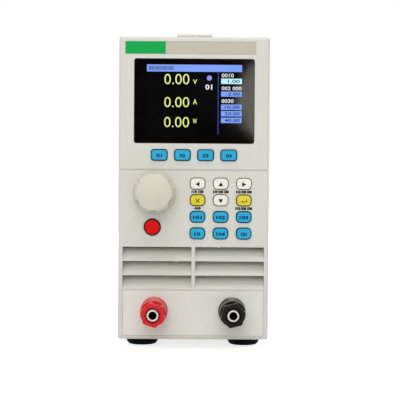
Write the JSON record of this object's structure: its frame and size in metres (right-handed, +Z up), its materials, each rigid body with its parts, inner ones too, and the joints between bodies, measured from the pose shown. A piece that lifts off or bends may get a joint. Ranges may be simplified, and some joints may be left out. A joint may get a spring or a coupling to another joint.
{
  "type": "dc electronic load",
  "caption": "Bench DC electronic load in a narrow upright case, with display, keypad, rotary knob, power button, air louvres, binding posts, strap handle and rear fan.",
  "frame": {"origin": "on the floor under the feet, at the middle of the whole object's width and depth", "axes": "+Z up, the front panel faces -Y, +X to the right seen from the front"},
  "size_m": [0.09, 0.303, 0.1984],
  "materials": {
    "bezel_plastic": "fine moulded grain",
    "case_paint": "powder coat",
    "handle_plastic": "moulded",
    "strip_film": "satin film",
    "label_film": "satin film",
    "window_black": "polished",
    "display": "satin",
    "key_blue": "satin",
    "key_white": "satin",
    "key_yellow": "satin",
    "button_red": "satin",
    "post_red": "gloss",
    "post_black": "gloss",
    "plated_brass": "nickel plate",
    "steel": "zinc plate",
    "rubber": "matte",
    "board": "solder mask",
    "black_plastic": "moulded",
    "sink_metal": "extruded",
    "copper": "bare",
    "standoff_brass": "turned",
    "core": "varnished laminations",
    "fuse_glass": "clear tube"
  },
  "bodies": {
    "chassis": {"front_bezel": "bezel_plastic", "terminal_panel": "bezel_plastic", "case_cover": "case_paint", "rear_panel": "case_paint", "base_tray": "case_paint", "handle_caps": "handle_plastic", "name_strip": "strip_film", "green_label": "label_film", "display_window": "window_black", "lcd_module": "display", "red_base": "post_red", "black_base": "post_black", "post_studs": "plated_brass", "post_nuts": "plated_brass", "cabinet_screws": "steel", "handle_screws": "steel", "board_screws": "steel", "fan_guard": "steel", "data_ports": "steel", "encoder_body": "steel", "rubber_feet": "rubber", "front_board": "board", "power_board": "board", "tact_switches": "black_plastic", "power_switch": "black_plastic", "power_transistors": "black_plastic", "fan_frame": "black_plastic", "mains_inlet": "black_plastic", "capacitors": "black_plastic", "heat_sink": "sink_metal", "bus_bars": "copper", "board_standoffs": "standoff_brass", "transformer": "core"},
    "soft_key_1": {"soft_key_1": "key_blue"},
    "soft_key_2": {"soft_key_2": "key_blue"},
    "soft_key_3": {"soft_key_3": "key_blue"},
    "soft_key_4": {"soft_key_4": "key_blue"},
    "key_left": {"key_left": "key_white"},
    "key_up": {"key_up": "key_white"},
    "key_right": {"key_right": "key_white"},
    "key_down": {"key_down": "key_white"},
    "key_escape": {"key_escape": "key_yellow"},
    "key_enter": {"key_enter": "key_yellow"},
    "key_mode": {"key_mode": "key_blue"},
    "key_menu": {"key_menu": "key_blue"},
    "key_set": {"key_set": "key_blue"},
    "key_channel": {"key_channel": "key_blue"},
    "key_trigger": {"key_trigger": "key_blue"},
    "key_on": {"key_on": "key_blue"},
    "knob": {"knob": "bezel_plastic", "encoder_shaft": "steel"},
    "power_button": {"power_button": "button_red"},
    "red_clamp": {"red_washer": "plated_brass"},
    "red_cap": {"red_cap": "post_red"},
    "black_clamp": {"black_washer": "plated_brass"},
    "black_cap": {"black_cap": "post_black"},
    "fan_rotor": {"fan_rotor": "black_plastic"},
    "handle_strap": {"handle_strap": "handle_plastic"},
    "fuse_drawer": {"fuse_drawer": "black_plastic", "fuse": "fuse_glass"}
  },
  "joints": [
    {"name": "soft_key_1_press", "type": "slide", "parent": "chassis", "child": "soft_key_1", "axis": [0, 1, 0], "range_m": [0, 0.0008], "stiffness_N_per_m": 1500},
    {"name": "soft_key_2_press", "type": "slide", "parent": "chassis", "child": "soft_key_2", "axis": [0, 1, 0], "range_m": [0, 0.0008], "stiffness_N_per_m": 1500},
    {"name": "soft_key_3_press", "type": "slide", "parent": "chassis", "child": "soft_key_3", "axis": [0, 1, 0], "range_m": [0, 0.0008], "stiffness_N_per_m": 1500},
    {"name": "soft_key_4_press", "type": "slide", "parent": "chassis", "child": "soft_key_4", "axis": [0, 1, 0], "range_m": [0, 0.0008], "stiffness_N_per_m": 1500},
    {"name": "key_left_press", "type": "slide", "parent": "chassis", "child": "key_left", "axis": [0, 1, 0], "range_m": [0, 0.0008], "stiffness_N_per_m": 1500},
    {"name": "key_up_press", "type": "slide", "parent": "chassis", "child": "key_up", "axis": [0, 1, 0], "range_m": [0, 0.0008], "stiffness_N_per_m": 1500},
    {"name": "key_right_press", "type": "slide", "parent": "chassis", "child": "key_right", "axis": [0, 1, 0], "range_m": [0, 0.0008], "stiffness_N_per_m": 1500},
    {"name": "key_down_press", "type": "slide", "parent": "chassis", "child": "key_down", "axis": [0, 1, 0], "range_m": [0, 0.0008], "stiffness_N_per_m": 1500},
    {"name": "key_escape_press", "type": "slide", "parent": "chassis", "child": "key_escape", "axis": [0, 1, 0], "range_m": [0, 0.0008], "stiffness_N_per_m": 1500},
    {"name": "key_enter_press", "type": "slide", "parent": "chassis", "child": "key_enter", "axis": [0, 1, 0], "range_m": [0, 0.0008], "stiffness_N_per_m": 1500},
    {"name": "key_mode_press", "type": "slide", "parent": "chassis", "child": "key_mode", "axis": [0, 1, 0], "range_m": [0, 0.0008], "stiffness_N_per_m": 1500},
    {"name": "key_menu_press", "type": "slide", "parent": "chassis", "child": "key_menu", "axis": [0, 1, 0], "range_m": [0, 0.0008], "stiffness_N_per_m": 1500},
    {"name": "key_set_press", "type": "slide", "parent": "chassis", "child": "key_set", "axis": [0, 1, 0], "range_m": [0, 0.0008], "stiffness_N_per_m": 1500},
    {"name": "key_channel_press", "type": "slide", "parent": "chassis", "child": "key_channel", "axis": [0, 1, 0], "range_m": [0, 0.0008], "stiffness_N_per_m": 1500},
    {"name": "key_trigger_press", "type": "slide", "parent": "chassis", "child": "key_trigger", "axis": [0, 1, 0], "range_m": [0, 0.0008], "stiffness_N_per_m": 1500},
    {"name": "key_on_press", "type": "slide", "parent": "chassis", "child": "key_on", "axis": [0, 1, 0], "range_m": [0, 0.0008], "stiffness_N_per_m": 1500},
    {"name": "power_button_press", "type": "slide", "parent": "chassis", "child": "power_button", "axis": [0, 1, 0], "range_m": [0, 0.0022], "stiffness_N_per_m": 800},
    {"name": "knob_turn", "type": "hinge", "parent": "chassis", "child": "knob", "pos_m": [-0.0229, -0.13125, 0.09305], "axis": [0, -1, 0], "continuous": true},
    {"name": "red_cap_travel", "type": "slide", "parent": "chassis", "child": "red_clamp", "axis": [0, -1, 0], "range_m": [0, 0.005]},
    {"name": "red_cap_turn", "type": "hinge", "parent": "red_clamp", "child": "red_cap", "pos_m": [-0.0227, -0.14025, 0.024], "axis": [0, -1, 0], "range_deg": [0, 1800.5]},
    {"name": "black_cap_travel", "type": "slide", "parent": "chassis", "child": "black_clamp", "axis": [0, -1, 0], "range_m": [0, 0.005]},
    {"name": "black_cap_turn", "type": "hinge", "parent": "black_clamp", "child": "black_cap", "pos_m": [0.0227, -0.14025, 0.024], "axis": [0, -1, 0], "range_deg": [0, 1800.5]},
    {"name": "fan_spin", "type": "hinge", "parent": "chassis", "child": "fan_rotor", "pos_m": [0, 0.13175, 0.055], "axis": [0, 1, 0], "continuous": true},
    {"name": "handle_lift", "type": "slide", "parent": "chassis", "child": "handle_strap", "axis": [0, 0, 1], "range_m": [0, 0.0018]},
    {"name": "fuse_drawer_slide", "type": "slide", "parent": "chassis", "child": "fuse_drawer", "axis": [0, 1, 0], "range_m": [0, 0.016]}
  ],
  "couplings": [
    {"joint": "red_cap_turn", "follows": "red_cap_travel", "rad_per_m": 6283.2},
    {"joint": "black_cap_turn", "follows": "black_cap_travel", "rad_per_m": 6283.2}
  ]
}
